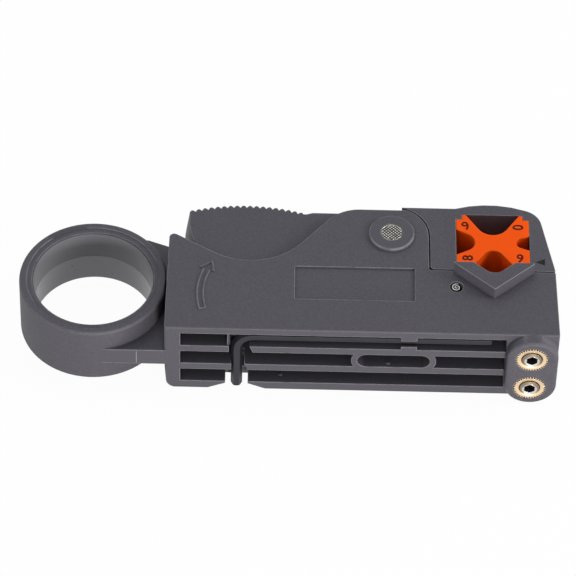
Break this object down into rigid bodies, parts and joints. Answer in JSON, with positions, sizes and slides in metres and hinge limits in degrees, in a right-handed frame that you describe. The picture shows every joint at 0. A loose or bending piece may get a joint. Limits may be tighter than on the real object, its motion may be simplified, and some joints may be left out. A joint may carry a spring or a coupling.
{
  "type": "rotary coaxial cable stripper",
  "caption": "Hand-turned coaxial cable stripper: grey body with finger ring, sprung thumb lever with V-block jaw, set-screw blades and a stored hex key.",
  "frame": {"origin": "centre of the finger ring at the middle of the body's thickness", "axes": "+X along the body towards the jaw end, +Y towards the thumb lever, +Z out through the broad face with the cradle and along the cable"},
  "size_m": [0.1079, 0.0378, 0.0212],
  "materials": {
    "grey_plastic": "finely spark-textured moulding",
    "orange_plastic": "satin moulding",
    "pin_steel": "bright drawn",
    "spring_steel": "plain wire",
    "arm_steel": "zinc plated",
    "blade_steel": "ground edge",
    "insert_brass": "turned and knurled",
    "screw_steel": "nickel plated",
    "key_steel": "black oxide"
  },
  "bodies": {
    "frame": {"body": "grey_plastic", "pivot_pin": "pin_steel", "lever_spring": "spring_steel", "arm_pin": "pin_steel", "insert_upper": "insert_brass", "insert_lower": "insert_brass", "hex_key": "key_steel"},
    "lever": {"jaw_lever": "grey_plastic"},
    "block": {"v_block": "orange_plastic"},
    "screw_upper": {"set_screw_upper": "screw_steel"},
    "screw_lower": {"set_screw_lower": "screw_steel"},
    "arm_upper": {"blade_arm_upper": "arm_steel", "blade_upper": "blade_steel", "blade_rivet_upper": "pin_steel"},
    "arm_lower": {"blade_arm_lower": "arm_steel", "blade_lower": "blade_steel", "blade_rivet_lower": "pin_steel"}
  },
  "joints": [
    {"name": "lever_pivot", "type": "hinge", "parent": "frame", "child": "lever", "pos_m": [0.05985, 0.0112, 0], "axis": [0, 0, 1], "range_deg": [0, 12], "stiffness_Nm_per_rad": 0.5, "springref_deg": -14.32, "deforming": ["lever_spring"]},
    {"name": "v_block_slide", "type": "slide", "parent": "lever", "child": "block", "axis": [0, 0, 1], "range_m": [0, 0.0185]},
    {"name": "upper_screw_turn", "type": "hinge", "parent": "frame", "child": "screw_upper", "pos_m": [0.0878, -0.0108, 0.0043], "axis": [0, 1, 0], "range_deg": [0, 450]},
    {"name": "lower_screw_turn", "type": "hinge", "parent": "frame", "child": "screw_lower", "pos_m": [0.0878, -0.0108, -0.0043], "axis": [0, 1, 0], "range_deg": [0, 450]},
    {"name": "upper_arm_swing", "type": "hinge", "parent": "frame", "child": "arm_upper", "pos_m": [0.0728, -0.0024, 0.0043], "axis": [0, 0, 1], "range_deg": [0, 3.4]},
    {"name": "lower_arm_swing", "type": "hinge", "parent": "frame", "child": "arm_lower", "pos_m": [0.0728, -0.0024, -0.0043], "axis": [0, 0, 1], "range_deg": [0, 3.4]}
  ],
  "couplings": [
    {"joint": "upper_arm_swing", "follows": "upper_screw_turn", "ratio": 0.007427},
    {"joint": "lower_arm_swing", "follows": "lower_screw_turn", "ratio": 0.007427}
  ]
}
